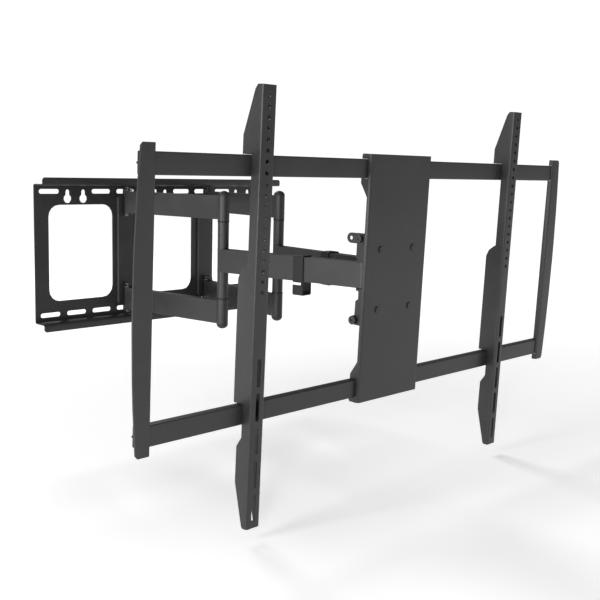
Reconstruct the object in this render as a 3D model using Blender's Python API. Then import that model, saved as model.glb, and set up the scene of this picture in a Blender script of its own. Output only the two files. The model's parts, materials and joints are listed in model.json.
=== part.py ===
"""Full motion television wall mount: wall plate, two folding arms, tilting head and television frame.

World frame, metres: +X along the wall to the right, +Y into the wall, +Z up. The origin is at the middle
of the wall plate's back face. The arms are at full reach and the television frame leans a little forward.
"""

import math

import bmesh
import bpy
from mathutils import Matrix, Vector

# Clearances
GAP = 0.0004
RUNNING_GAP = 0.0008

# Wall plate
PLATE_HALF_WIDTH = 0.3245
PLATE_HALF_HEIGHT = 0.141
PLATE_SHEET = 0.0025
PLATE_DEPTH = 0.0365
LIP_TOP = 0.1543
WINDOW_HALF_HEIGHT = 0.0985
WINDOW_RADIUS = 0.024
MIDDLE_WINDOW_HALF_WIDTH = 0.076
SIDE_WINDOW_INNER = 0.1394
SIDE_WINDOW_OUTER = 0.2928
SLOT_PITCH = 0.0613
FIRST_SLOT = 0.0454
SLOT_LENGTH = 0.046
SLOT_WIDTH = 0.0095
SLOT_ROW = 0.1258
KEYHOLES = (-0.2483, -0.2112, 0.0, 0.2112, 0.2483)
KEYHOLE_EYE = 0.0093
KEYHOLE_NECK = 0.0047
KEYHOLE_Z = 0.111
KEYHOLE_TOP = 0.130
LIP_CORNER = 0.004

# Wall pivots and first links
PIVOT_X = 0.1112
PIVOT_Y = -0.0183
REACH_ANGLE = math.radians(7.38)
LINK_LENGTH = 0.273
LINK_WIDTH = 0.016
LINK_LOW = 0.0806
LINK_HIGH = 0.1266
TUBE_WALL = 0.002
WALL_KNUCKLE_RADIUS = 0.008
WALL_BOLT_RADIUS = 0.004
CHANNEL_HALF_WIDTH = 0.019
CHANNEL_FRONT = -0.0095
CHANNEL_HALF_HEIGHT = 0.1335
CHANNEL_SHOULDER = 0.1165
EAR_SHEET = 0.003
EAR_RADIUS = 0.0095
EAR_NECK = 0.0058

# Elbows and second arms
ARM_LENGTH = 0.331
ARM_WIDTH = 0.0226
ARM_HALF_HEIGHT = 0.0227
ELBOW_OUTER_RADIUS = 0.0114
ELBOW_INNER_RADIUS = 0.011
ELBOW_PIN_RADIUS = 0.006
ELBOW_SPLIT = 0.0765
ELBOW_KNUCKLE_END = 0.1268
POST_END = 0.1368
BUSH_HEIGHT = 0.0022
BUSH_RADIUS = 0.0119
BORE_SIDES = 12
CLIP_LENGTH = 0.023
CLIP_SHEET = 0.0022
CLIP_HOOKS = {"left": -0.0478, "right": -0.0395}
CLIP_MOUTHS = {"left": -0.0295, "right": -0.0285}
CLIP_PLACES = {"left": 0.196, "right": 0.168}

# Head, in the television frame's own axes: x right, y back from the rails' front faces, z up
HEAD_PIVOT_X = PIVOT_X - (LINK_LENGTH + ARM_LENGTH) * math.sin(REACH_ANGLE)
HEAD_PIVOT_Y = PIVOT_Y - (LINK_LENGTH + ARM_LENGTH) * math.cos(REACH_ANGLE)
HEAD_BOLT_RADIUS = 0.005
TILT = math.radians(1.82)
FRAME_HEAD_Y = 0.0375
FRAME_HEAD_Z = 0.0018
TILT_AXIS_Y = 0.037
TILT_AXIS_Z = -0.0767
CHEEK_X = 0.0515
CHEEK_SHEET = 0.003
LUG_RADIUS = 0.0086
TILT_BOLT_RADIUS = 0.004
TAB_Y = 0.030
TAB_Z = 0.068
TAB_SHEET = 0.0025
TAB_BOLT_RADIUS = 0.004
EYE_Y = 0.052
EYE_Z = 0.0675
EYE_RADIUS = 0.0092
EYE_BORE = 0.0036
SWIVEL_X = 0.0487
SWIVEL_WEB_Y = 0.012
SWIVEL_TOP = 0.0305
SHELF_SHEET = 0.004
SHELF_REACH = 0.0105
TILT_BRACKET_TOP = 0.077

# Television frame
RAIL_HEIGHT = 0.0317
RAIL_DEPTH = 0.015
RAIL_TOP = 0.205
RAIL_HALF_LENGTH = 0.5355
RAIL_WALL = 0.0018
PLUG_CAP = 0.0028
PLUG_TAIL = 0.014
FACE_HALF_WIDTH = 0.0834
FACE_HALF_HEIGHT = 0.214
FACE_FRONT = -0.008
FACE_SHEET = 0.003
FACE_BOLT_RADIUS = 0.0035
FACE_BOLTS = [(x, z) for x in (-0.0445, 0.0445) for z in (-0.0525, 0.0525)]
END_INNER = 0.5206
END_OUTER = 0.546
END_BOW = 0.009
END_HALF_HEIGHT = 0.217
END_CORNER = 0.0045
END_FRONT = -0.0035
END_SHEET = 0.003
BRACKET_PLACES = {"left": -0.3471, "right": 0.3268}
BRACKET_WIDTH = 0.0284
BRACKET_FRONT = -0.0193
BRACKET_TOP = 0.3065
BRACKET_BOTTOM = -0.3698
BRACKET_SHEET = 0.0025
HOLE_PITCH = 0.0161
HOLE_TOP = 0.2923
HOLE_COUNT = 19
HOLE_RADIUS = 0.0036
BRACKET_SLOT_PITCH = 0.0535
BRACKET_SLOT_TOP = -0.1215
BRACKET_SLOT_LENGTH = 0.0452
BRACKET_SLOT_WIDTH = 0.0075
BRACKET_SLOT_COUNT = 5

SIDES = {"left": -1, "right": 1}
ENDS = {"upper": 1, "lower": -1}
FINISHES = {
    "black_steel": ((0.035, 0.035, 0.036, 1), 0.45, 0.0),
    "black_plastic": ((0.02, 0.02, 0.021, 1), 0.5, 0.0),
    "dark_zinc": ((0.1, 0.1, 0.1, 1), 0.35, 0.8),
    "bush_nylon": ((0.05, 0.05, 0.05, 1), 0.55, 0.0),
}
PLACE = {
    "X": lambda u, v, w: Vector((w, u, v)),
    "Y": lambda u, v, w: Vector((u, w, v)),
    "Z": lambda u, v, w: Vector((u, v, w)),
}


def finish(name):
    """The named material, made on its first use."""
    material = bpy.data.materials.get(name)
    if material is None:
        colour, roughness, metallic = FINISHES[name]
        material = bpy.data.materials.new(name)
        material.use_nodes = True
        shader = material.node_tree.nodes["Principled BSDF"]
        shader.inputs["Base Color"].default_value = colour
        shader.inputs["Roughness"].default_value = roughness
        shader.inputs["Metallic"].default_value = metallic
    return material


def circle(u, v, radius, count=14, start=0.0, turn=math.tau):
    """Points of a circle, or of an arc when turn is less than a whole one."""
    whole = abs(turn) >= math.tau
    steps = count if whole else count + 1
    angles = (start + turn * i / count for i in range(steps))
    return [(u + radius * math.cos(a), v + radius * math.sin(a)) for a in angles]


def rounded(points, radii, count=3, closed=True):
    """The outline with each corner turned into an arc of its own radius."""
    result = []
    last = len(points) - 1
    for i, corner in enumerate(points):
        radius = radii[i] if isinstance(radii, (list, tuple)) else radii
        if radius <= 0 or (not closed and i in (0, last)):
            result.append(tuple(corner))
            continue
        here = Vector(corner)
        before = (Vector(points[i - 1]) - here).normalized()
        after = (Vector(points[(i + 1) % len(points)]) - here).normalized()
        half = before.angle(after) / 2
        middle = here + (before + after).normalized() * radius / math.sin(half)
        first = here + before * radius / math.tan(half) - middle
        turn = math.pi - 2 * half
        side = 1 if before.cross(after) < 0 else -1
        begin = math.atan2(first.y, first.x)
        result += circle(middle.x, middle.y, radius, count, begin, side * turn)
    return result


def box_outline(u0, u1, v0, v1, radius=0.0, count=3):
    return rounded([(u0, v0), (u1, v0), (u1, v1), (u0, v1)], radius, count)


def slot_outline(u, v, length, width, upright=False):
    """A slot with round ends about its centre."""
    a, b = (width / 2, length / 2) if upright else (length / 2, width / 2)
    return box_outline(u - a, u + a, v - b, v + b, width / 2 * 0.999, 4)


def bent_sheet(path, sheet, inside_radius):
    """The outline of a sheet bent along an open path of centre points."""
    points = [Vector(p) for p in path]
    sides = []
    for sign in (1, -1):
        edge, radii = [], []
        for i, here in enumerate(points):
            ahead = (points[i + 1] - here).normalized() if i < len(points) - 1 else None
            behind = (here - points[i - 1]).normalized() if i else None
            along_in = behind or ahead
            along_out = ahead or behind
            normal_in = Vector((-along_in.y, along_in.x))
            normal_out = Vector((-along_out.y, along_out.x))
            mitre = (normal_in + normal_out).normalized()
            edge.append(here + mitre * sign * sheet / 2 / mitre.dot(normal_in))
            bend = along_in.cross(along_out)
            inner = bend * sign > 0
            radii.append(0 if abs(bend) < 1e-6 else inside_radius + (0 if inner else sheet))
        sides.append(rounded([tuple(p) for p in edge], radii, 2, closed=False))
    return sides[0] + sides[1][::-1]


def extrusion(name, axis, loops, low, high):
    """A solid from an outline and its holes, drawn square to an axis and run along it."""
    at = PLACE[axis]
    shape = bmesh.new()
    edges = []
    for loop in loops:
        corners = [shape.verts.new(at(u, v, low)) for u, v in loop]
        edges += [shape.edges.new(pair) for pair in zip(corners, corners[1:] + corners[:1])]
    bmesh.ops.triangle_fill(shape, use_beauty=True, use_dissolve=False, edges=edges)
    bottom = list(shape.faces)
    grown = bmesh.ops.extrude_face_region(shape, geom=bottom, use_keep_orig=True)
    moved = [item for item in grown["geom"] if isinstance(item, bmesh.types.BMVert)]
    bmesh.ops.translate(shape, vec=at(0, 0, high - low), verts=moved)
    bmesh.ops.recalc_face_normals(shape, faces=shape.faces)
    mesh = bpy.data.meshes.new(name)
    shape.to_mesh(mesh)
    shape.free()
    piece = bpy.data.objects.new(name, mesh)
    bpy.context.scene.collection.objects.link(piece)
    return piece


def turned(name, axis, centre, profile, count=16):
    """A solid of revolution: profile points are (radius, height along the axis), bottom to top."""
    at = PLACE[axis]
    shape = bmesh.new()
    rings = []
    for radius, height in profile:
        if radius == 0:
            rings.append([shape.verts.new(at(*centre, height))])
            continue
        rings.append([shape.verts.new(at(u, v, height)) for u, v in circle(*centre, radius, count)])
    for lower, upper in zip(rings, rings[1:]):
        for i in range(count):
            j = (i + 1) % count
            if len(lower) == 1:
                shape.faces.new((lower[0], upper[i], upper[j]))
            elif len(upper) == 1:
                shape.faces.new((lower[i], lower[j], upper[0]))
            else:
                shape.faces.new((lower[i], lower[j], upper[j], upper[i]))
    for ring in (rings[0], rings[-1]):
        if len(ring) > 1:
            shape.faces.new(ring)
    bmesh.ops.recalc_face_normals(shape, faces=shape.faces)
    mesh = bpy.data.meshes.new(name)
    shape.to_mesh(mesh)
    shape.free()
    piece = bpy.data.objects.new(name, mesh)
    bpy.context.scene.collection.objects.link(piece)
    return piece


def carve(piece, operation, tools):
    """Joins, cuts or crosses the piece with each tool, and removes the tools."""
    for tool in tools:
        modifier = piece.modifiers.new(operation.lower(), "BOOLEAN")
        modifier.operation = operation
        modifier.object = tool
        bpy.context.view_layer.update()
        graph = bpy.context.evaluated_depsgraph_get()
        mesh = bpy.data.meshes.new_from_object(piece.evaluated_get(graph))
        piece.modifiers.remove(modifier)
        piece.data = mesh
        bpy.data.objects.remove(tool)
    return piece


def move(piece, matrix):
    piece.data.transform(matrix)
    return piece


def place(piece, material, axis_point, parent=None):
    """Gives the piece its finish, puts its origin on its joint's axis and hangs it on its parent."""
    piece.data.materials.clear()
    piece.data.materials.append(finish(material))
    piece.data.transform(Matrix.Translation(-Vector(axis_point)))
    piece.location = Vector(axis_point) - (Vector(parent["base"]) if parent else Vector())
    piece.parent = parent
    piece.data.shade_smooth()
    piece.data.set_sharp_from_angle(angle=math.radians(35))
    return piece


def joint_empty(name, base, parent=None, world=None, lean=0.0):
    """An empty on a joint's axis. Its pieces are drawn in axes in which it stands at base."""
    empty = bpy.data.objects.new(name, None)
    empty.empty_display_size = 0.03
    empty["base"] = tuple(base)
    empty.location = Vector(world or base) - (Vector(parent["base"]) if parent else Vector())
    empty.rotation_euler = (lean, 0, 0)
    empty.parent = parent
    bpy.context.scene.collection.objects.link(empty)
    return empty


def bolt(name, axis, centre, start, end, radius, head_radius, head_height, towards=1):
    """A bolt along an axis: its domed head lies beyond start, and its shank runs to end."""
    crown = start - towards * head_height
    profile = [
        (head_radius * 0.7, crown),
        (head_radius, crown + towards * head_height * 0.35),
        (head_radius, start),
        (radius, start),
        (radius, end),
    ]
    return turned(name, axis, centre, profile)


def nut(name, axis, centre, low, high, radius, bore):
    """A hexagonal nut."""
    flats = circle(*centre, radius, 6)
    return extrusion(name, axis, [flats, circle(*centre, bore, BORE_SIDES)], low, high)


def make_wall_plate():
    """A channel of sheet with outturned lips, three windows, fixing slots and keyholes."""
    half_sheet = PLATE_SHEET / 2
    flange = PLATE_HALF_HEIGHT - half_sheet
    front = half_sheet - PLATE_DEPTH
    back = -half_sheet
    path = [(front, LIP_TOP), (front, flange), (back, flange)]
    path += [(y, -z) for y, z in reversed(path)]
    section = bent_sheet(path, PLATE_SHEET, 0.002)
    plate = extrusion("wall_plate", "X", [section], -PLATE_HALF_WIDTH, PLATE_HALF_WIDTH)
    windows = [(-MIDDLE_WINDOW_HALF_WIDTH, MIDDLE_WINDOW_HALF_WIDTH)]
    windows += [(SIDE_WINDOW_INNER, SIDE_WINDOW_OUTER), (-SIDE_WINDOW_OUTER, -SIDE_WINDOW_INNER)]
    cuts = [box_outline(*edges, -WINDOW_HALF_HEIGHT, WINDOW_HALF_HEIGHT, WINDOW_RADIUS, 4) for edges in windows]
    for side in SIDES.values():
        for i in range(5):
            x = side * (FIRST_SLOT + i * SLOT_PITCH)
            cuts.append(slot_outline(x, -SLOT_ROW, SLOT_LENGTH, SLOT_WIDTH))
            if i != 3:
                cuts.append(slot_outline(x, SLOT_ROW, SLOT_LENGTH, SLOT_WIDTH))
    bend = math.acos(KEYHOLE_NECK / KEYHOLE_EYE)
    for x in KEYHOLES:
        outline = circle(x, KEYHOLE_Z, KEYHOLE_EYE, 8, bend, -(2 * bend + math.pi))
        outline += circle(x, KEYHOLE_TOP - KEYHOLE_NECK, KEYHOLE_NECK, 4, math.pi, -math.pi)
        cuts.append(outline)
    cutters = [extrusion("cutter", "Y", [cut], -2 * PLATE_SHEET, PLATE_SHEET) for cut in cuts]
    for end in (-1, 1):
        for row in (-1, 1):
            x, z = end * PLATE_HALF_WIDTH, row * LIP_TOP
            out, up = end * LIP_CORNER, row * LIP_CORNER
            wedge = [(x + out, z + up), (x + out, z - up), (x, z - up), (x - out, z), (x - out, z + up)]
            levels = (-PLATE_DEPTH - PLATE_SHEET, -PLATE_DEPTH + 2 * PLATE_SHEET)
            cutters.append(extrusion("cutter", "Y", [wedge], *levels))
    carve(plate, "DIFFERENCE", cutters)
    return place(plate, "black_steel", (0, 0, 0))


def make_pivot_channel(side, sign):
    """A raised channel on the plate with four ears that hold the two wall bolts."""
    x = sign * PIVOT_X
    reach = CHANNEL_HALF_WIDTH - 0.00125
    back = -PLATE_SHEET - GAP
    front = CHANNEL_FRONT + 0.00125
    path = [(x - reach, back), (x - reach, front), (x + reach, front), (x + reach, back)]
    section = bent_sheet(path, 0.0025, 0.001)
    channel = extrusion(f"pivot_channel_{side}", "Z", [section], -CHANNEL_HALF_HEIGHT, CHANNEL_HALF_HEIGHT)
    outline = circle(x, PIVOT_Y, EAR_RADIUS, 12, math.pi - 0.35, math.pi + 0.7)
    outline += [(x + EAR_NECK, front), (x - EAR_NECK, front)]
    ears = []
    for end in ENDS.values():
        for edge, away in ((LINK_HIGH, 1), (LINK_LOW, -1)):
            near = edge + away * RUNNING_GAP
            levels = sorted((end * near, end * (near + away * EAR_SHEET)))
            bore = circle(x, PIVOT_Y, WALL_BOLT_RADIUS + GAP, BORE_SIDES)
            ears.append(extrusion("ear", "Z", [outline, bore], *levels))
    wide, neck = CHANNEL_HALF_WIDTH + 0.001, EAR_NECK
    quarter = [(wide, CHANNEL_SHOULDER - 0.004), (wide - 0.005, CHANNEL_SHOULDER), (neck, CHANNEL_SHOULDER)]
    quarter += [(neck, CHANNEL_HALF_HEIGHT + 0.001)]
    half = quarter + [(-u, v) for u, v in reversed(quarter)]
    front_view = [(x + u, v) for u, v in half] + [(x + u, -v) for u, v in reversed(half)]
    carve(channel, "INTERSECT", [extrusion("silhouette", "Y", [front_view], -0.05, 0.01)])
    carve(channel, "UNION", ears)
    return place(channel, "black_steel", (x, PIVOT_Y, 0))


def make_wall_bolts(side, sign):
    """A bolt down through each pair of ears, with its nut below."""
    centre = (sign * PIVOT_X, PIVOT_Y)
    for end, way in ENDS.items():
        tops = (LINK_HIGH, LINK_LOW) if way > 0 else (-LINK_LOW, -LINK_HIGH)
        top = tops[0] + RUNNING_GAP + EAR_SHEET + GAP
        bottom = tops[1] - RUNNING_GAP - EAR_SHEET - GAP
        name = f"wall_bolt_{side}_{end}"
        piece = bolt(name, "Z", centre, top, bottom - 0.0032, WALL_BOLT_RADIUS, 0.0068, 0.0045, -1)
        place(piece, "dark_zinc", (*centre, 0))
        name = f"wall_nut_{side}_{end}"
        piece = nut(name, "Z", centre, bottom - 0.0028, bottom, 0.0068, WALL_BOLT_RADIUS + GAP)
        place(piece, "dark_zinc", (*centre, 0))


def arm_outline(length, width, start_radius, end_radius):
    """The plan of a bar along -Y from a round end at the origin to a round end a length away."""
    half = width / 2
    near = math.asin(min(1, half / start_radius))
    far = math.asin(min(1, half / end_radius))
    outline = circle(0, 0, start_radius, 8, -math.pi / 2 + near, 2 * (math.pi - near))
    outline += circle(0, -length, end_radius, 10, math.pi / 2 + far, 2 * (math.pi - far))
    return outline


def hollow(length, width, low, high, start_inset, end_inset):
    """The space inside a tube along -Y, with a drain hole through its underside."""
    inner = box_outline(TUBE_WALL - width / 2, width / 2 - TUBE_WALL, end_inset - length, -start_inset)
    space = extrusion("space", "Z", [inner], low + TUBE_WALL, high - TUBE_WALL)
    drain = extrusion("drain", "Z", [circle(0, -length / 2, 0.0025, 8)], low - 0.001, low + 2 * TUBE_WALL)
    return [space, drain]


def at_angle(centre, angle):
    return Matrix.Translation((*centre, 0)) @ Matrix.Rotation(angle, 4, "Z")


def make_links(side, sign, pivot, angle, parent):
    """The upper and lower tubes of the first link, each with a knuckle at both ends."""
    for end, way in ENDS.items():
        low, high = sorted((way * LINK_LOW, way * LINK_HIGH))
        knuckle = sorted((way * (ELBOW_SPLIT + BUSH_HEIGHT / 2 + GAP), way * ELBOW_KNUCKLE_END))
        outline = arm_outline(LINK_LENGTH, LINK_WIDTH, WALL_KNUCKLE_RADIUS, ELBOW_OUTER_RADIUS)
        holes = [circle(0, 0, WALL_BOLT_RADIUS + GAP, BORE_SIDES)]
        holes.append(circle(0, -LINK_LENGTH, ELBOW_PIN_RADIUS + GAP))
        link = extrusion(f"link_{side}_{end}", "Z", [outline] + holes, low, high)
        rings = [circle(0, -LINK_LENGTH, ELBOW_OUTER_RADIUS, 20), holes[1]]
        carve(link, "UNION", [extrusion("knuckle", "Z", rings, *knuckle)])
        carve(link, "DIFFERENCE", hollow(LINK_LENGTH, LINK_WIDTH, low, high, 0.012, 0.016))
        move(link, at_angle(pivot, angle))
        place(link, "black_steel", (*pivot, 0), parent)


def make_elbow(side, elbow, parent):
    """The elbow's pin, the two bushes between its knuckles and the domed cap on each end."""
    pin = turned(f"elbow_pin_{side}", "Z", elbow, [(ELBOW_PIN_RADIUS, -0.127), (ELBOW_PIN_RADIUS, 0.127)])
    place(pin, "dark_zinc", (*elbow, 0), parent)
    for end, way in ENDS.items():
        low, high = sorted((way * (ELBOW_SPLIT - BUSH_HEIGHT / 2), way * (ELBOW_SPLIT + BUSH_HEIGHT / 2)))
        rings = [circle(*elbow, BUSH_RADIUS, 20), circle(*elbow, ELBOW_PIN_RADIUS + GAP)]
        bush = extrusion(f"elbow_bush_{side}_{end}", "Z", rings, low, high)
        place(bush, "bush_nylon", (*elbow, 0), parent)
        base = ELBOW_KNUCKLE_END + GAP
        rise = POST_END - base
        dome = [(ELBOW_OUTER_RADIUS, way * base)]
        for step in range(5):
            a = math.pi / 2 * step / 4
            radius = ELBOW_OUTER_RADIUS * math.cos(a) if step < 4 else 0
            dome.append((radius, way * (base + 0.0006 + (rise - 0.0006) * math.sin(a))))
        cap = turned(f"elbow_cap_{side}_{end}", "Z", elbow, dome, 20)
        place(cap, "black_plastic", (*elbow, 0), parent)


def make_arm(side, elbow, angle, parent):
    """The second arm: a tube with the elbow's long middle knuckle and a round front end."""
    outline = arm_outline(ARM_LENGTH, ARM_WIDTH, ARM_WIDTH / 2, ARM_WIDTH / 2)
    pin_hole = circle(0, 0, ELBOW_PIN_RADIUS + GAP)
    holes = [pin_hole, circle(0, -ARM_LENGTH, HEAD_BOLT_RADIUS + GAP)]
    arm = extrusion(f"arm_{side}", "Z", [outline] + holes, -ARM_HALF_HEIGHT, ARM_HALF_HEIGHT)
    knuckle = ELBOW_SPLIT - BUSH_HEIGHT / 2 - GAP
    rings = [circle(0, 0, ELBOW_INNER_RADIUS, 20), pin_hole]
    carve(arm, "UNION", [extrusion("knuckle", "Z", rings, -knuckle, knuckle)])
    space = hollow(ARM_LENGTH, ARM_WIDTH, -ARM_HALF_HEIGHT, ARM_HALF_HEIGHT, 0.015, 0.016)
    carve(arm, "DIFFERENCE", space)
    move(arm, at_angle(elbow, angle))
    return place(arm, "black_steel", (*elbow, 0), parent)


def make_cable_clip(side, sign, elbow, angle, parent):
    """A strap over the second arm that ends below it in an open hook for cables."""
    half = ARM_WIDTH / 2 + GAP + CLIP_SHEET / 2
    top = ARM_HALF_HEIGHT + GAP + CLIP_SHEET / 2
    path = [(-half + 0.007, -top), (-half, -top), (-half, top), (half, top)]
    hook = CLIP_HOOKS[side]
    path += [(half, hook), (-half, hook), (-half, CLIP_MOUTHS[side])]
    section = bent_sheet(path, CLIP_SHEET, 0.0008)
    middle = -CLIP_PLACES[side]
    ends = (middle - CLIP_LENGTH / 2, middle + CLIP_LENGTH / 2)
    clip = extrusion(f"cable_clip_{side}", "Y", [section], *ends)
    if sign > 0:
        move(clip, Matrix.Diagonal((-1, 1, 1, 1)))
        clip.data.flip_normals()
    move(clip, at_angle(elbow, angle))
    return place(clip, "black_plastic", (*elbow, 0), parent)


def make_swivel_bracket(parent):
    """The bracket on the two arms' front ends: a web, two shelves and an ear on each side below."""
    y = HEAD_PIVOT_Y
    front = y - FRAME_HEAD_Y + SWIVEL_WEB_Y
    shelf_low = ARM_HALF_HEIGHT + RUNNING_GAP
    shelf_high = shelf_low + SHELF_SHEET
    tilt_y, tilt_z = to_world_yz(TILT_AXIS_Y, TILT_AXIS_Z)
    bottom = tilt_z - LUG_RADIUS
    outline = box_outline(-SWIVEL_X, SWIVEL_X, bottom, SWIVEL_TOP)
    bracket = extrusion("swivel_bracket", "Y", [outline], front, front + CHEEK_SHEET)
    back = y + SHELF_REACH
    corners = [(-SWIVEL_X, front), (SWIVEL_X, front), (SWIVEL_X, back), (-SWIVEL_X, back)]
    shelf = [rounded(corners, [0, 0, 0.012, 0.012])]
    shelf += [circle(sign * HEAD_PIVOT_X, y, HEAD_BOLT_RADIUS + GAP) for sign in SIDES.values()]
    extras = []
    for way in ENDS.values():
        extras.append(extrusion("shelf", "Z", shelf, *sorted((way * shelf_low, way * shelf_high))))
    waist = tilt_y - 0.004
    ear = [(front, -shelf_low), (front, bottom)]
    ear += circle(tilt_y, tilt_z, LUG_RADIUS, 8, -math.pi / 2, math.pi)
    ear += [(waist, tilt_z + LUG_RADIUS + 0.006), (waist, -shelf_high - 0.004), (waist - 0.004, -shelf_low)]
    bore = circle(tilt_y, tilt_z, TILT_BOLT_RADIUS + GAP, BORE_SIDES)
    for sign in SIDES.values():
        levels = sorted((sign * SWIVEL_X, sign * (SWIVEL_X - CHEEK_SHEET)))
        extras.append(extrusion("ear", "X", [ear, bore], *levels))
    carve(bracket, "UNION", extras)
    return place(bracket, "black_steel", (-HEAD_PIVOT_X, y, 0), parent)


def make_head_pivots(head):
    """A bolt for each arm's front end. The right one is opened: it ends inside the upper shelf."""
    for side, sign in SIDES.items():
        centre = (sign * HEAD_PIVOT_X, HEAD_PIVOT_Y)
        top = ARM_HALF_HEIGHT + RUNNING_GAP + SHELF_SHEET + GAP
        end = -top - 0.0055 if side == "left" else top - SHELF_SHEET
        piece = bolt(f"head_bolt_{side}", "Z", centre, top, end, HEAD_BOLT_RADIUS, 0.0085, 0.005, -1)
        place(piece, "dark_zinc", (*centre, 0), head)
        piece = nut(f"head_nut_{side}", "Z", centre, -top - 0.005, -top, 0.0085, HEAD_BOLT_RADIUS + GAP)
        place(piece, "dark_zinc", (*centre, 0), head)


def to_world_yz(y, z):
    """A point of the television frame's own axes as world y and z."""
    turn = Matrix.Rotation(TILT, 4, "X")
    point = turn @ Vector((0, y - FRAME_HEAD_Y, z - FRAME_HEAD_Z))
    return HEAD_PIVOT_Y + point.y, point.z


def make_tilt_bracket(parent):
    """The tilting bracket behind the centre plate: a web and two cheeks that end in lugs."""
    front = FACE_FRONT + FACE_SHEET + GAP + CHEEK_SHEET / 2
    reach = 0.05
    path = [(-CHEEK_X, reach), (-CHEEK_X, front), (CHEEK_X, front), (CHEEK_X, reach)]
    section = bent_sheet(path, CHEEK_SHEET, 0.0015)
    bracket = extrusion("tilt_bracket", "Z", [section], -0.09, TILT_BRACKET_TOP)
    nose = front - CHEEK_SHEET
    side = [(nose, TILT_AXIS_Z - LUG_RADIUS)]
    side += circle(TILT_AXIS_Y, TILT_AXIS_Z, LUG_RADIUS, 8, -math.pi / 2, math.pi)
    side += [(0.0365, -0.043), (0.022, -0.032), (0.022, 0.028), (0.0403, 0.033)]
    side += [(0.0403, TILT_BRACKET_TOP + 0.001), (nose, TILT_BRACKET_TOP + 0.001)]
    carve(bracket, "INTERSECT", [extrusion("silhouette", "X", [side], -0.08, 0.08)])
    cuts = []
    for y, z, radius in ((TILT_AXIS_Y, TILT_AXIS_Z, TILT_BOLT_RADIUS), (TAB_Y, TAB_Z, TAB_BOLT_RADIUS)):
        cuts.append(extrusion("bore", "X", [circle(y, z, radius + GAP, BORE_SIDES)], -0.08, 0.08))
    for centre in FACE_BOLTS:
        cuts.append(extrusion("bore", "Y", [circle(*centre, FACE_BOLT_RADIUS + GAP, BORE_SIDES)], -0.01, 0.005))
    carve(bracket, "DIFFERENCE", cuts)
    return place(bracket, "black_steel", (0, TILT_AXIS_Y, TILT_AXIS_Z), parent)


def make_tilt_fasteners(head, frame):
    """The two tilt bolts with their nuts, and a tab with an eye bolted outside each cheek."""
    outside = CHEEK_X + CHEEK_SHEET / 2 + GAP
    inside = SWIVEL_X - CHEEK_SHEET - GAP
    origin = (0, TILT_AXIS_Y, TILT_AXIS_Z)
    world = to_world_yz(TILT_AXIS_Y, TILT_AXIS_Z)
    half = EYE_RADIUS
    bar = [(TAB_Y, TAB_Z - half), (EYE_Y, EYE_Z - half)]
    bar += circle(EYE_Y, EYE_Z, half, 8, -math.pi / 2, math.pi)[1:]
    bar += circle(TAB_Y, TAB_Z, half, 8, math.pi / 2, math.pi)[:-1]
    holes = [circle(EYE_Y, EYE_Z, EYE_BORE, BORE_SIDES), circle(TAB_Y, TAB_Z, TAB_BOLT_RADIUS + GAP, BORE_SIDES)]
    for side, sign in SIDES.items():
        centre = (TILT_AXIS_Y, TILT_AXIS_Z)
        ends = (sign * outside, sign * (inside - 0.0045))
        piece = bolt(f"tilt_bolt_{side}", "X", centre, *ends, TILT_BOLT_RADIUS, 0.0078, 0.0045, -sign)
        place(piece, "dark_zinc", origin, frame)
        levels = sorted((sign * inside, sign * (inside - 0.004)))
        piece = nut(f"tilt_nut_{side}", "X", world, *levels, 0.0066, TILT_BOLT_RADIUS + GAP)
        place(piece, "dark_zinc", (0, *world), head)
        levels = sorted((sign * outside, sign * (outside + TAB_SHEET)))
        place(extrusion(f"tilt_tab_{side}", "X", [bar] + holes, *levels), "black_steel", origin, frame)
        ends = (sign * (outside + TAB_SHEET + GAP), sign * (CHEEK_X - CHEEK_SHEET))
        piece = bolt(f"tilt_tab_bolt_{side}", "X", (TAB_Y, TAB_Z), *ends, TAB_BOLT_RADIUS, 0.0068, 0.004, -sign)
        place(piece, "dark_zinc", origin, frame)


def make_centre_plate(parent):
    """The tall plate between the rails, with side flanges that are deep only round the rails."""
    x = FACE_HALF_WIDTH - FACE_SHEET / 2
    front = FACE_FRONT + FACE_SHEET / 2
    deep, shallow = 0.013, -0.0016
    path = [(-x, deep), (-x, front), (x, front), (x, deep)]
    section = bent_sheet(path, FACE_SHEET, 0.0015)
    plate = extrusion("centre_plate", "Z", [section], -FACE_HALF_HEIGHT, FACE_HALF_HEIGHT)
    side = [(shallow, 0.1415), (deep, 0.1648), (deep, 0.2115), (deep - 0.0025, 0.2145)]
    side += [(FACE_FRONT - 0.001, 0.2145)]
    side += [(y, -z) for y, z in reversed(side)]
    carve(plate, "INTERSECT", [extrusion("silhouette", "X", [side], -0.09, 0.09)])
    cuts = []
    for way in ENDS.values():
        low, high = sorted((way * (RAIL_TOP - RAIL_HEIGHT - GAP), way * (RAIL_TOP + GAP)))
        cuts.append(extrusion("notch", "X", [box_outline(-GAP, 0.03, low, high)], -0.09, 0.09))
    for centre in FACE_BOLTS:
        cuts.append(extrusion("bore", "Y", [circle(*centre, FACE_BOLT_RADIUS + GAP, BORE_SIDES)], -0.012, 0))
    carve(plate, "DIFFERENCE", cuts)
    origin = (0, TILT_AXIS_Y, TILT_AXIS_Z)
    place(plate, "black_steel", origin, parent)
    for i, centre in enumerate(FACE_BOLTS, 1):
        ends = (FACE_FRONT - GAP, 0.0006)
        piece = bolt(f"plate_bolt_{i}", "Y", centre, *ends, FACE_BOLT_RADIUS, 0.0062, 0.0009, 1)
        place(piece, "black_steel", origin, parent)


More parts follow.
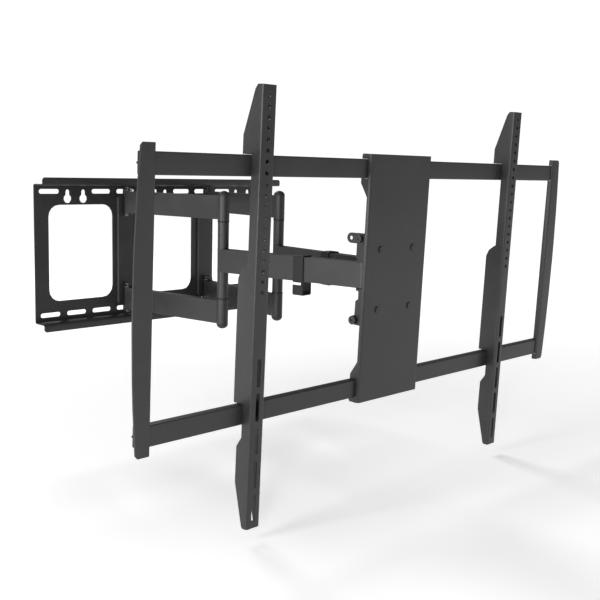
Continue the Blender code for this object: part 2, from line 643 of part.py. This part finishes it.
def make_rails(parent):
    """The two rectangular tubes, with a plug in each end."""
    for end, way in ENDS.items():
        low, high = sorted((way * (RAIL_TOP - RAIL_HEIGHT), way * RAIL_TOP))
        outer = box_outline(0, RAIL_DEPTH, low, high, 0.002, 2)
        inner = box_outline(RAIL_WALL, RAIL_DEPTH - RAIL_WALL, low + RAIL_WALL, high - RAIL_WALL)
        rail = extrusion(f"rail_{end}", "X", [outer, inner], -RAIL_HALF_LENGTH, RAIL_HALF_LENGTH)
        place(rail, "black_steel", (0, TILT_AXIS_Y, TILT_AXIS_Z), parent)
        inset = RAIL_WALL + GAP
        body = box_outline(inset, RAIL_DEPTH - inset, low + inset, high - inset)
        face = RAIL_HALF_LENGTH + GAP
        for side, sign in SIDES.items():
            cap = sorted((sign * face, sign * (face + PLUG_CAP)))
            plug = extrusion(f"rail_plug_{side}_{end}", "X", [outer], *cap)
            tail = extrusion("tail", "X", [body], *sorted((sign * (face - PLUG_TAIL), sign * (face + 0.001))))
            bump_centre = (sign * (face + PLUG_CAP), (low + high) / 2)
            rim = [(0.0022, 0.0005), (0.0022, RAIL_DEPTH - 0.0005)]
            carve(plug, "UNION", [tail, turned("bump", "Y", bump_centre, rim)])
            place(plug, "black_plastic", (0, TILT_AXIS_Y, TILT_AXIS_Z), parent)


def make_end_piece(side, sign, parent):
    """The upright that ties the rails' ends: a bowed front and an inner flange notched for the rails."""
    half = END_SHEET / 2
    widest = END_OUTER + END_BOW
    path = [(END_INNER + half, 0.006), (END_INNER + half, END_FRONT + half), (widest, END_FRONT + half)]
    section = bent_sheet(path, END_SHEET, 0.0015)
    piece = extrusion(f"end_piece_{side}", "Z", [section], -END_HALF_HEIGHT, END_HALF_HEIGHT)
    bow_radius = (END_HALF_HEIGHT ** 2 + END_BOW ** 2) / (2 * END_BOW)
    spread = math.asin((END_HALF_HEIGHT - END_CORNER) / bow_radius)
    outline = circle(widest - bow_radius, 0, bow_radius, 12, -spread, 2 * spread)
    outline += [(END_OUTER - END_CORNER, END_HALF_HEIGHT + 0.001), (END_INNER - 0.001, END_HALF_HEIGHT + 0.001)]
    outline += [(END_INNER - 0.001, -END_HALF_HEIGHT - 0.001), (END_OUTER - END_CORNER, -END_HALF_HEIGHT - 0.001)]
    carve(piece, "INTERSECT", [extrusion("silhouette", "Y", [outline], END_FRONT - 0.01, 0.02)])
    cuts = []
    for way in ENDS.values():
        low, high = sorted((way * (RAIL_TOP - RAIL_HEIGHT - GAP), way * (RAIL_TOP + GAP)))
        notch = box_outline(-GAP, 0.03, low, high)
        cuts.append(extrusion("notch", "X", [notch], END_INNER - 0.01, END_INNER + 0.01))
    carve(piece, "DIFFERENCE", cuts)
    if sign < 0:
        move(piece, Matrix.Diagonal((-1, 1, 1, 1)))
        piece.data.flip_normals()
    return place(piece, "black_steel", (0, TILT_AXIS_Y, TILT_AXIS_Z), parent)


def make_tv_bracket(side, parent):
    """A channel that hooks over both rails, with a row of round holes above and slots below."""
    left = BRACKET_PLACES[side]
    right = left + BRACKET_WIDTH
    half = BRACKET_SHEET / 2
    front = BRACKET_FRONT + half
    deep = 0.0197
    path = [(left + half, deep), (left + half, front), (right - half, front), (right - half, deep)]
    section = bent_sheet(path, BRACKET_SHEET, 0.001)
    bracket = extrusion(f"tv_bracket_{side}", "Z", [section], BRACKET_BOTTOM, BRACKET_TOP)
    nose = BRACKET_FRONT - 0.002
    rail_top, rail_low = RAIL_TOP + GAP, RAIL_TOP - RAIL_HEIGHT - GAP
    profile = [(nose, BRACKET_TOP + 0.001), (-0.0085, BRACKET_TOP + 0.001), (-0.0026, 0.2997)]
    profile += [(deep, 0.2335), (deep, rail_top), (-GAP, rail_top), (-GAP, 0.0430), (0.002, 0.0424)]
    profile += [(0.0143, 0.0325), (deep, 0.0200), (deep, -rail_low)]
    profile += [(-GAP, -rail_low), (-GAP, -0.2250), (0.0101, -0.2410), (0.0104, -0.2990), (-0.0075, -0.3675)]
    profile += [(-0.0110, BRACKET_BOTTOM - 0.001), (nose, BRACKET_BOTTOM - 0.001)]
    carve(bracket, "INTERSECT", [extrusion("silhouette", "X", [profile], left - 0.01, right + 0.01)])
    middle = (left + right) / 2
    holes = [circle(middle, HOLE_TOP - i * HOLE_PITCH, HOLE_RADIUS, 12) for i in range(HOLE_COUNT)]
    for i in range(BRACKET_SLOT_COUNT):
        z = BRACKET_SLOT_TOP - i * BRACKET_SLOT_PITCH
        holes.append(slot_outline(middle, z, BRACKET_SLOT_LENGTH, BRACKET_SLOT_WIDTH, upright=True))
    cuts = [extrusion("hole", "Y", [hole], nose, front + 0.004) for hole in holes]
    carve(bracket, "DIFFERENCE", cuts)
    return place(bracket, "black_steel", (middle, TILT_AXIS_Y, TILT_AXIS_Z), parent)


def main():
    for old in list(bpy.data.objects):
        bpy.data.objects.remove(old)
    make_wall_plate()
    arm_axes = {}
    for side, sign in SIDES.items():
        make_pivot_channel(side, sign)
        make_wall_bolts(side, sign)
        pivot = (sign * PIVOT_X, PIVOT_Y)
        angle = -sign * REACH_ANGLE
        link_axis = joint_empty(f"link_axis_{side}", (*pivot, 0))
        make_links(side, sign, pivot, angle, link_axis)
        across, along = LINK_LENGTH * math.sin(REACH_ANGLE), LINK_LENGTH * math.cos(REACH_ANGLE)
        elbow = (pivot[0] - sign * across, pivot[1] - along)
        make_elbow(side, elbow, link_axis)
        arm_axes[side] = joint_empty(f"elbow_axis_{side}", (*elbow, 0), link_axis)
        make_arm(side, elbow, angle, arm_axes[side])
        make_cable_clip(side, sign, elbow, angle, arm_axes[side])
    head_axis = joint_empty("head_axis", (-HEAD_PIVOT_X, HEAD_PIVOT_Y, 0), arm_axes["left"])
    make_swivel_bracket(head_axis)
    make_head_pivots(head_axis)
    tilt_world = (0, *to_world_yz(TILT_AXIS_Y, TILT_AXIS_Z))
    tilt_axis = joint_empty("tilt_axis", (0, TILT_AXIS_Y, TILT_AXIS_Z), head_axis, tilt_world, TILT)
    make_tilt_bracket(tilt_axis)
    make_tilt_fasteners(head_axis, tilt_axis)
    make_centre_plate(tilt_axis)
    make_rails(tilt_axis)
    for side, sign in SIDES.items():
        make_end_piece(side, sign, tilt_axis)
        make_tv_bracket(side, tilt_axis)


main()
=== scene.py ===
"""A full motion television wall mount in black powder-coated steel, in a pale studio.

Lengths are metres in the frame's own axes: +X along the wall to the right, +Y into the wall, +Z up.
"""

import json
import math

import bpy
from mathutils import Matrix, Vector

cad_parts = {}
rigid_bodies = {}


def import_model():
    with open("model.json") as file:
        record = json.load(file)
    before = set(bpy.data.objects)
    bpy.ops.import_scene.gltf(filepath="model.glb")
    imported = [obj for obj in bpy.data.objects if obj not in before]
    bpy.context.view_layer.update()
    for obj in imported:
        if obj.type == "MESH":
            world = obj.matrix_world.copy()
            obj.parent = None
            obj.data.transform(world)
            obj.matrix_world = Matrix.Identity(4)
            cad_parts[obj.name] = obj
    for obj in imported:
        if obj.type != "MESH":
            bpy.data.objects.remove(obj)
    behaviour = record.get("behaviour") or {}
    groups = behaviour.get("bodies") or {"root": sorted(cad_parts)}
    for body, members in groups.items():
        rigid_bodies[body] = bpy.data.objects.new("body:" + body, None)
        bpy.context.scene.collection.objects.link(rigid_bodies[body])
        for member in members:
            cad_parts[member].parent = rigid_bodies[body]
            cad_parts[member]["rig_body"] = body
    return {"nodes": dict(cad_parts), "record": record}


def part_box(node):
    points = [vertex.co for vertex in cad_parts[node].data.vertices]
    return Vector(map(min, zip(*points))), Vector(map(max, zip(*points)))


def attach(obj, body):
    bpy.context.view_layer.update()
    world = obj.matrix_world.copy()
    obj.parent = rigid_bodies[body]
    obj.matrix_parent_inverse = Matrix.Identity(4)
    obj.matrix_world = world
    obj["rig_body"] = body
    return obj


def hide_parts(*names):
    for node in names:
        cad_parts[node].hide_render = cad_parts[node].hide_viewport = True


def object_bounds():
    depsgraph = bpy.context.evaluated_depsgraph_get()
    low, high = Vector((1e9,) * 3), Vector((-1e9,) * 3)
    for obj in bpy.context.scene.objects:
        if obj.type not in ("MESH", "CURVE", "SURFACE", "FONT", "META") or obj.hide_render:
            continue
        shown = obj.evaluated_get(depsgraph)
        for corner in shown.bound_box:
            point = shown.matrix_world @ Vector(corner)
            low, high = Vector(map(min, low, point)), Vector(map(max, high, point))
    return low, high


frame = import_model()
cad_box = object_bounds()
nodes = frame["nodes"]

SIDES = ("left", "right")
ENDS = ("upper", "lower")

# Camera
CAMERA_PLACE = (-1.2715, -1.6633, 0.1845)
CAMERA_TURN = (1.42838, -0.02421, -0.79724)
CAMERA_LENS = 55.24

# Studio
FLOOR_SIZE = 24
FLOOR_GLOW = 0.85
SKY_LIGHT = 0.2
SKY_SEEN = 1.05

# Edges left by the brake press and under the powder coat
SHEET_EDGE = 0.0006
TUBE_EDGE = 0.0011
ARM_EDGE = 0.0007
FITTING_EDGE = 0.0004

# Posts at the elbows
POST_RADIUS = 0.0115
MIDDLE_POST_RADIUS = 0.0111
POST_SIDES = 56
POST_WALL = 0.0034
POST_OVERRUN = 0.0001
CAP_SIDES = 48
CAP_SKIRT = 0.0006
CAP_RINGS = 8

# Bolts: head radius, head height, shank radius, rounding of the head and radius of the socket
BOLT_SIDES = 40
WALL_BOLT = (0.0068, 0.0045, 0.004, 0.0026, 0.0026)
HEAD_BOLT = (0.0085, 0.005, 0.005, 0.0022, 0.0036)
TILT_BOLT = (0.0078, 0.0045, 0.004, 0.0016, 0.0030)
TAB_BOLT = (0.0068, 0.004, 0.004, 0.0016, 0.0028)
PLATE_BOLT = (0.0062, 0.0009, 0.0035, 0.0007, 0.0022)

# The television frame's forward lean at rest
LEAN = math.radians(1.82)

POWDER_GREY = (0.017, 0.017, 0.0175)
POWDER_WORN = (0.028, 0.028, 0.0288)
MOULDED_BLACK = (0.008, 0.008, 0.0083)
CAP_GREY = (0.021, 0.021, 0.0216)
ZINC_BLACK = (0.026, 0.026, 0.026)
ZINC_BRIGHT = (0.075, 0.073, 0.07)
NYLON_BLACK = (0.012, 0.012, 0.0125)
FLOOR_WHITE = (0.93, 0.93, 0.93)


# Materials


class Wire:
    """A shader socket that Python's arithmetic works on, by adding Math nodes."""

    def __init__(self, recipe, socket):
        self.recipe = recipe
        self.socket = socket

    def calculate(self, operation, first, second):
        node = self.recipe.add("ShaderNodeMath", {"operation": operation}, {0: first, 1: second})
        return node["Value"]

    def __add__(self, other):
        return self.calculate("ADD", self, other)

    def __radd__(self, other):
        return self.calculate("ADD", other, self)

    def __sub__(self, other):
        return self.calculate("SUBTRACT", self, other)

    def __rmul__(self, other):
        return self.calculate("MULTIPLY", other, self)


class Placed:
    """A node in a recipe, whose outputs are read by name as wires."""

    def __init__(self, recipe, node):
        self.recipe = recipe
        self.node = node

    def __getitem__(self, name):
        return Wire(self.recipe, self.node.outputs[name])


class Recipe:
    """A material under construction."""

    def __init__(self, name):
        self.material = bpy.data.materials.new(name)
        self.material.use_nodes = True
        self.tree = self.material.node_tree
        self.tree.nodes.clear()
        self.place = self.add("ShaderNodeTexCoord")["Object"]

    def add(self, kind, settings=None, values=None):
        """A node of this kind: its settings first, then the values or wires of its sockets."""
        node = self.tree.nodes.new(kind)
        for name, value in (settings or {}).items():
            if name == "stops":
                self.set_stops(node.color_ramp, value)
            else:
                setattr(node, name, value)
        for name, value in (values or {}).items():
            if isinstance(value, Wire):
                self.tree.links.new(value.socket, node.inputs[name])
            else:
                node.inputs[name].default_value = value
        return Placed(self, node)

    def set_stops(self, ramp, stops):
        while len(ramp.elements) < len(stops):
            ramp.elements.new(0.5)
        for element, (position, grey) in zip(ramp.elements, stops):
            element.position = position
            element.color = (grey, grey, grey, 1)

    def noise(self, scale, detail=3.0, roughness=0.5, stretch=(1, 1, 1)):
        """Grain in Object coordinates, from 0 to 1."""
        place = self.add("ShaderNodeMapping", {}, {"Vector": self.place, "Scale": stretch})["Vector"]
        values = {"Vector": place, "Scale": scale, "Detail": detail, "Roughness": roughness}
        return self.add("ShaderNodeTexNoise", {}, values)["Fac"]

    def ramp(self, factor, *stops):
        return self.add("ShaderNodeValToRGB", {"stops": stops}, {"Fac": factor})["Color"]

    def blend(self, factor, first, second):
        """One colour turning into another."""
        sockets = {0: factor, 6: as_colour(first), 7: as_colour(second)}
        mixed = self.add("ShaderNodeMix", {"data_type": "RGBA"}, sockets)
        return Wire(self, mixed.node.outputs[2])

    def relief(self, height, strength, distance):
        values = {"Height": height, "Strength": strength, "Distance": distance}
        return self.add("ShaderNodeBump", {}, values)["Normal"]

    def shade(self, **values):
        """Ends the recipe in one Principled shader."""
        named = {name.replace("_", " "): as_colour(value) for name, value in values.items()}
        shader = self.add("ShaderNodeBsdfPrincipled", {}, named)
        self.add("ShaderNodeOutputMaterial", {}, {"Surface": shader["BSDF"]})
        return self.material


def as_colour(value):
    return (*value, 1) if isinstance(value, tuple) and len(value) == 3 else value


def powder_coated_steel(name, base, worn, gloss):
    """Fine-textured satin powder coat: close grain, slight orange peel and soft cloudiness."""
    recipe = Recipe(name)
    cloud = recipe.noise(9, 3, 0.55)
    grain = recipe.noise(900, 2, 0.6)
    peel = recipe.noise(260, 3, 0.5)
    dust = recipe.noise(38, 6, 0.62)
    tone = recipe.ramp(0.55 * cloud + 0.25 * dust + 0.2 * grain, (0.34, 0.0), (0.66, 1.0))
    colour = recipe.blend(tone, base, worn)
    roughness = gloss + 0.10 * cloud + 0.08 * dust - 0.05 * peel
    normal = recipe.relief(0.6 * peel + 0.4 * grain, 0.16, 0.0004)
    return recipe.shade(
        Base_Color=colour, Roughness=roughness, Metallic=0.0, Normal=normal, Specular_IOR_Level=0.5
    )


def moulded_plastic(name, base):
    """Spark-textured moulded plastic with a low sheen."""
    recipe = Recipe(name)
    spark = recipe.noise(1400, 2, 0.7)
    cloud = recipe.noise(30, 3, 0.5)
    colour = recipe.blend(0.5 * cloud + 0.3 * spark, base, tuple(2.0 * c for c in base))
    normal = recipe.relief(spark, 0.22, 0.0003)
    roughness = 0.40 + 0.14 * cloud
    return recipe.shade(Base_Color=colour, Roughness=roughness, Normal=normal, Specular_IOR_Level=0.32)


def black_zinc(name):
    """Black zinc plate on a machined part: turned lines and rubbed, brighter high spots."""
    recipe = Recipe(name)
    rub = recipe.noise(160, 4, 0.6)
    lathe = recipe.noise(1200, 2, 0.5, (1, 1, 0.15))
    colour = recipe.blend(recipe.ramp(rub, (0.42, 0.0), (0.74, 1.0)), ZINC_BLACK, ZINC_BRIGHT)
    normal = recipe.relief(0.5 * lathe + 0.5 * rub, 0.2, 0.0002)
    return recipe.shade(Base_Color=colour, Roughness=0.36 + 0.16 * rub, Metallic=0.25, Normal=normal)


def studio_floor():
    recipe = Recipe("studio_floor")
    grain = recipe.noise(40, 4, 0.6)
    colour = recipe.blend(grain, FLOOR_WHITE, tuple(0.985 * c for c in FLOOR_WHITE))
    # Painted light: the floor glows, dimmer near its middle under the frame (painted shade round the frame)
    # and full white further out.
    reach = recipe.add("ShaderNodeVectorMath", {"operation": "LENGTH"}, {0: recipe.place})["Value"]
    glow = recipe.ramp(0.2 * reach, (0.1, 0.42), (0.7, 1.0))
    return recipe.shade(Base_Color=colour, Roughness=0.9, Emission_Color=glow, Emission_Strength=FLOOR_GLOW)


FINISHES = {
    "black_steel": powder_coated_steel("powder_coated_steel", POWDER_GREY, POWDER_WORN, 0.335),
    "black_plastic": moulded_plastic("moulded_plastic", MOULDED_BLACK),
    "dark_zinc": black_zinc("black_zinc"),
    "bush_nylon": moulded_plastic("bush_nylon", NYLON_BLACK),
}
CAP_COAT = moulded_plastic("cap_plastic", CAP_GREY)
SLOT_OF = {entry["node"]: entry["material_slot"] for entry in frame["record"]["subparts"]}


# Making


def deselect_all():
    if bpy.context.mode != "OBJECT":
        bpy.ops.object.mode_set(mode="OBJECT")
    bpy.ops.object.select_all(action="DESELECT")


def pick(piece):
    """Makes the piece the only one selected, and the active one."""
    deselect_all()
    piece.select_set(True)
    bpy.context.view_layer.objects.active = piece
    return piece


def finish_piece(piece, node, angle=32, coat=None):
    """Gives a finished piece its coating, its shading and its body, and hides the node it stands for."""
    pick(piece)
    bpy.ops.object.transform_apply(location=True, rotation=True, scale=True)
    bpy.ops.object.shade_smooth_by_angle(angle=math.radians(angle))
    even = piece.modifiers.new("even_shading", "WEIGHTED_NORMAL")
    even.keep_sharp = True
    bpy.ops.object.modifier_apply(modifier=even.name)
    slot = SLOT_OF[node]
    piece.data.materials.clear()
    piece.data.materials.append(coat or FINISHES[slot])
    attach(piece, nodes[node]["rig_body"])
    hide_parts(node)
    return piece


def copy_of(node, name):
    """A merged, flat-faced copy of a node's mesh to work on."""
    piece = bpy.data.objects.new(name, nodes[node].data.copy())
    bpy.context.scene.collection.objects.link(piece)
    pick(piece)
    bpy.ops.object.mode_set(mode="EDIT")
    bpy.ops.mesh.select_all(action="SELECT")
    bpy.ops.mesh.remove_doubles(threshold=0.00002)
    bpy.ops.mesh.dissolve_limited(angle_limit=math.radians(1))
    bpy.ops.object.mode_set(mode="OBJECT")
    return piece


def soften_edges(piece, width, segments=2, angle=28):
    """Rounds the edges as bending, deburring and coating leave them."""
    pick(piece)
    bevel = piece.modifiers.new("coated_edge", "BEVEL")
    bevel.width = width
    bevel.segments = segments
    bevel.limit_method = "ANGLE"
    bevel.angle_limit = math.radians(angle)
    bevel.use_clamp_overlap = True
    bpy.ops.object.modifier_apply(modifier=bevel.name)
    return piece


def turned_post(piece, on_axis, radius):
    """Joins a smoothly turned sleeve round the piece's elbow knuckle, over its whole height."""
    middle = (Vector(on_axis[0]) + Vector(on_axis[1])) / 2
    near = [v.co.z for v in piece.data.vertices if (v.co.xy - middle.xy).length < radius + 0.0003]
    low, high = min(near) - POST_OVERRUN, max(near) + POST_OVERRUN
    deselect_all()
    place = (middle.x, middle.y, (low + high) / 2)
    bpy.ops.mesh.primitive_cylinder_add(
        vertices=POST_SIDES, radius=radius, depth=high - low, end_fill_type="NOTHING", location=place
    )
    sleeve = bpy.context.object
    wall = sleeve.modifiers.new("wall", "SOLIDIFY")
    wall.thickness = POST_WALL
    wall.offset = -1
    bpy.ops.object.modifier_apply(modifier=wall.name)
    pick(piece)
    join = piece.modifiers.new("join", "BOOLEAN")
    join.operation = "UNION"
    join.object = sleeve
    bpy.ops.object.modifier_apply(modifier=join.name)
    bpy.data.objects.remove(sleeve)


def coated(node, width):
    """A node's own shape with softened edges, and turned posts where it is a link or an arm."""
    piece = copy_of(node, f"coated_{node}")
    if node.startswith("link_"):
        turned_post(piece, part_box(f"elbow_cap_{node[5:]}"), POST_RADIUS)
    if node.startswith("arm_"):
        turned_post(piece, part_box(f"elbow_pin_{node[4:]}"), MIDDLE_POST_RADIUS)
    soften_edges(piece, width)
    return finish_piece(piece, node)


def part_faces(piece, test):
    """Selects the faces for which test, given a face's centre and normal, holds. Leaves edit mode on."""
    pick(piece)
    bpy.ops.object.mode_set(mode="EDIT")
    bpy.ops.mesh.select_mode(type="FACE")
    bpy.ops.mesh.select_all(action="DESELECT")
    bpy.ops.object.mode_set(mode="OBJECT")
    for face in piece.data.polygons:
        face.select = test(face.center, face.normal)
    bpy.ops.object.mode_set(mode="EDIT")


def socket_bolt(node, axis, way, kind):
    """A bolt with a rounded head and a hexagon socket. Its head looks along way on the axis."""
    head, height, shank, rounding, socket = kind
    low, high = (Vector(corner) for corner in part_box(node))
    length = (high - low)["XYZ".index(axis)]
    deselect_all()
    below = (0, 0, -height / 2)
    bpy.ops.mesh.primitive_cylinder_add(vertices=BOLT_SIDES, radius=head, depth=height, location=below)
    piece = bpy.context.object
    piece.name = f"bolt_{node}"
    part_faces(piece, lambda centre, normal: normal.z > 0.9)
    bpy.ops.mesh.bevel(offset=rounding, segments=5, profile=0.6, affect="EDGES")
    bpy.ops.object.mode_set(mode="OBJECT")
    part_faces(piece, lambda centre, normal: normal.z < -0.9)
    bpy.ops.mesh.inset(thickness=head - shank, depth=0)
    bpy.ops.mesh.extrude_region_move(TRANSFORM_OT_translate={"value": (0, 0, height - length)})
    bpy.ops.mesh.bevel(offset=0.0005, segments=2, affect="EDGES")
    bpy.ops.object.mode_set(mode="OBJECT")
    deselect_all()
    bpy.ops.mesh.primitive_cylinder_add(vertices=6, radius=socket, depth=height, location=(0, 0, 0))
    cut_with(piece, bpy.context.object)
    soften_edges(piece, 0.00025, 2, 40)
    pick(piece)
    turn = Vector((0, 0, 1)).rotation_difference(Vector(way)).to_matrix().to_4x4()
    middle = (low + high) / 2
    piece.matrix_world = Matrix.Translation(middle + Vector(way) * length / 2) @ turn
    return finish_piece(piece, node, 40)


def cut_with(piece, tool):
    """Cuts the tool's shape out of the piece, and removes the tool."""
    pick(piece)
    cut = piece.modifiers.new("cut", "BOOLEAN")
    cut.operation = "DIFFERENCE"
    cut.object = tool
    bpy.ops.object.modifier_apply(modifier=cut.name)
    bpy.data.objects.remove(tool)


def domed_cap(node, way):
    """The moulded cap on a post: a short skirt under a full dome."""
    low, high = (Vector(corner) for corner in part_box(node))
    radius, rise = (high.x - low.x) / 2, high.z - low.z
    deselect_all()
    middle = (low + high) / 2
    base = middle - Vector((0, 0, way * (rise - CAP_SKIRT) / 2))
    bpy.ops.mesh.primitive_cylinder_add(vertices=CAP_SIDES, radius=radius, depth=CAP_SKIRT, location=base)
    piece = bpy.context.object
    piece.name = f"domed_{node}"
    bpy.ops.object.transform_apply(location=True, rotation=True, scale=True)
    part_faces(piece, lambda centre, normal: normal.z * way > 0.9)
    for step in range(CAP_RINGS):
        here, there = (math.pi / 2 * i / (CAP_RINGS + 0.4) for i in (step, step + 1))
        inward = radius * (math.cos(here) - math.cos(there))
        upward = (rise - CAP_SKIRT) * (math.sin(there) - math.sin(here))
        bpy.ops.mesh.inset(thickness=inward, depth=upward)
    bpy.ops.object.mode_set(mode="OBJECT")
    return finish_piece(piece, node, 40, CAP_COAT)


# Camera


def make_camera():
    data = bpy.data.cameras.new("camera")
    data.lens = CAMERA_LENS
    data.sensor_width = 36
    data.clip_end = 100
    camera = bpy.data.objects.new("camera", data)
    camera.location = CAMERA_PLACE
    camera.rotation_euler = CAMERA_TURN
    bpy.context.scene.collection.objects.link(camera)
    bpy.context.scene.camera = camera


def make_light(name, place, target, width, height, power):
    data = bpy.data.lights.new(name, "AREA")
    data.shape = "RECTANGLE"
    data.size, data.size_y = width, height
    data.energy = power
    light = bpy.data.objects.new(name, data)
    light.location = place
    light.rotation_euler = (Vector(target) - Vector(place)).to_track_quat("-Z", "Y").to_euler()
    bpy.context.scene.collection.objects.link(light)


def make_studio():
    deselect_all()
    low = min(corner[2] for corner in cad_box)
    bpy.ops.mesh.primitive_plane_add(size=FLOOR_SIZE, location=(0, 0, low - 0.02))
    floor = bpy.context.object
    floor.name = "floor"
    floor.data.materials.append(studio_floor())
    world = bpy.data.worlds.new("studio")
    world.use_nodes = True
    tree = world.node_tree
    tree.nodes.clear()
    lit = tree.nodes.new("ShaderNodeBackground")
    lit.inputs["Strength"].default_value = SKY_LIGHT
    seen = tree.nodes.new("ShaderNodeBackground")
    seen.inputs["Strength"].default_value = SKY_SEEN
    for sky in (lit, seen):
        sky.inputs["Color"].default_value = (1, 1, 1, 1)
    path = tree.nodes.new("ShaderNodeLightPath")
    mixed = tree.nodes.new("ShaderNodeMixShader")
    tree.links.new(path.outputs["Is Camera Ray"], mixed.inputs[0])
    tree.links.new(lit.outputs["Background"], mixed.inputs[1])
    tree.links.new(seen.outputs["Background"], mixed.inputs[2])
    tree.links.new(mixed.outputs["Shader"], tree.nodes.new("ShaderNodeOutputWorld").inputs["Surface"])
    bpy.context.scene.world = world
    bpy.context.scene.view_settings.view_transform = "Standard"
    make_light("key", (-3.4, -0.3, 0.7), (0, -0.5, 0), 1.0, 2.8, 84)
    make_light("front", (-1.95, -1.9, 0.2), (0, -0.5, 0), 0.3, 0.9, 17)
    make_light("rim", (0.9, 2.9, 2.7), (0, -0.4, 0), 1.2, 1.2, 70)


make_camera()
make_studio()

SHEETS = ["wall_plate", "pivot_channel_left", "pivot_channel_right", "centre_plate", "tilt_bracket"]
SHEETS += ["swivel_bracket", "end_piece_left", "end_piece_right", "tv_bracket_left", "tv_bracket_right"]
SHEETS += ["tilt_tab_left", "tilt_tab_right"]
TUBES = [f"link_{side}_{end}" for side in SIDES for end in ENDS]
TUBES += ["arm_left", "arm_right", "rail_upper", "rail_lower"]

for node in SHEETS:
    coated(node, SHEET_EDGE)
for node in TUBES:
    coated(node, TUBE_EDGE if node.startswith("rail") else ARM_EDGE)
made = set(SHEETS) | set(TUBES)

FRONT = (0, -math.cos(LEAN), -math.sin(LEAN))
for side in SIDES:
    outward = (-1, 0, 0) if side == "left" else (1, 0, 0)
    for end in ENDS:
        socket_bolt(f"wall_bolt_{side}_{end}", "Z", (0, 0, 1), WALL_BOLT)
        domed_cap(f"elbow_cap_{side}_{end}", 1 if end == "upper" else -1)
    socket_bolt(f"head_bolt_{side}", "Z", (0, 0, 1), HEAD_BOLT)
    socket_bolt(f"tilt_bolt_{side}", "X", outward, TILT_BOLT)
    socket_bolt(f"tilt_tab_bolt_{side}", "X", outward, TAB_BOLT)
for number in (1, 2, 3, 4):
    socket_bolt(f"plate_bolt_{number}", "Y", FRONT, PLATE_BOLT)
new_pieces = [piece.name for piece in bpy.data.objects if piece.name.startswith(("bolt_", "domed_"))]
made |= {name.split("_", 1)[1] for name in new_pieces}

for node in sorted(set(nodes) - made):
    coated(node, FITTING_EDGE)

bpy.context.view_layer.update()
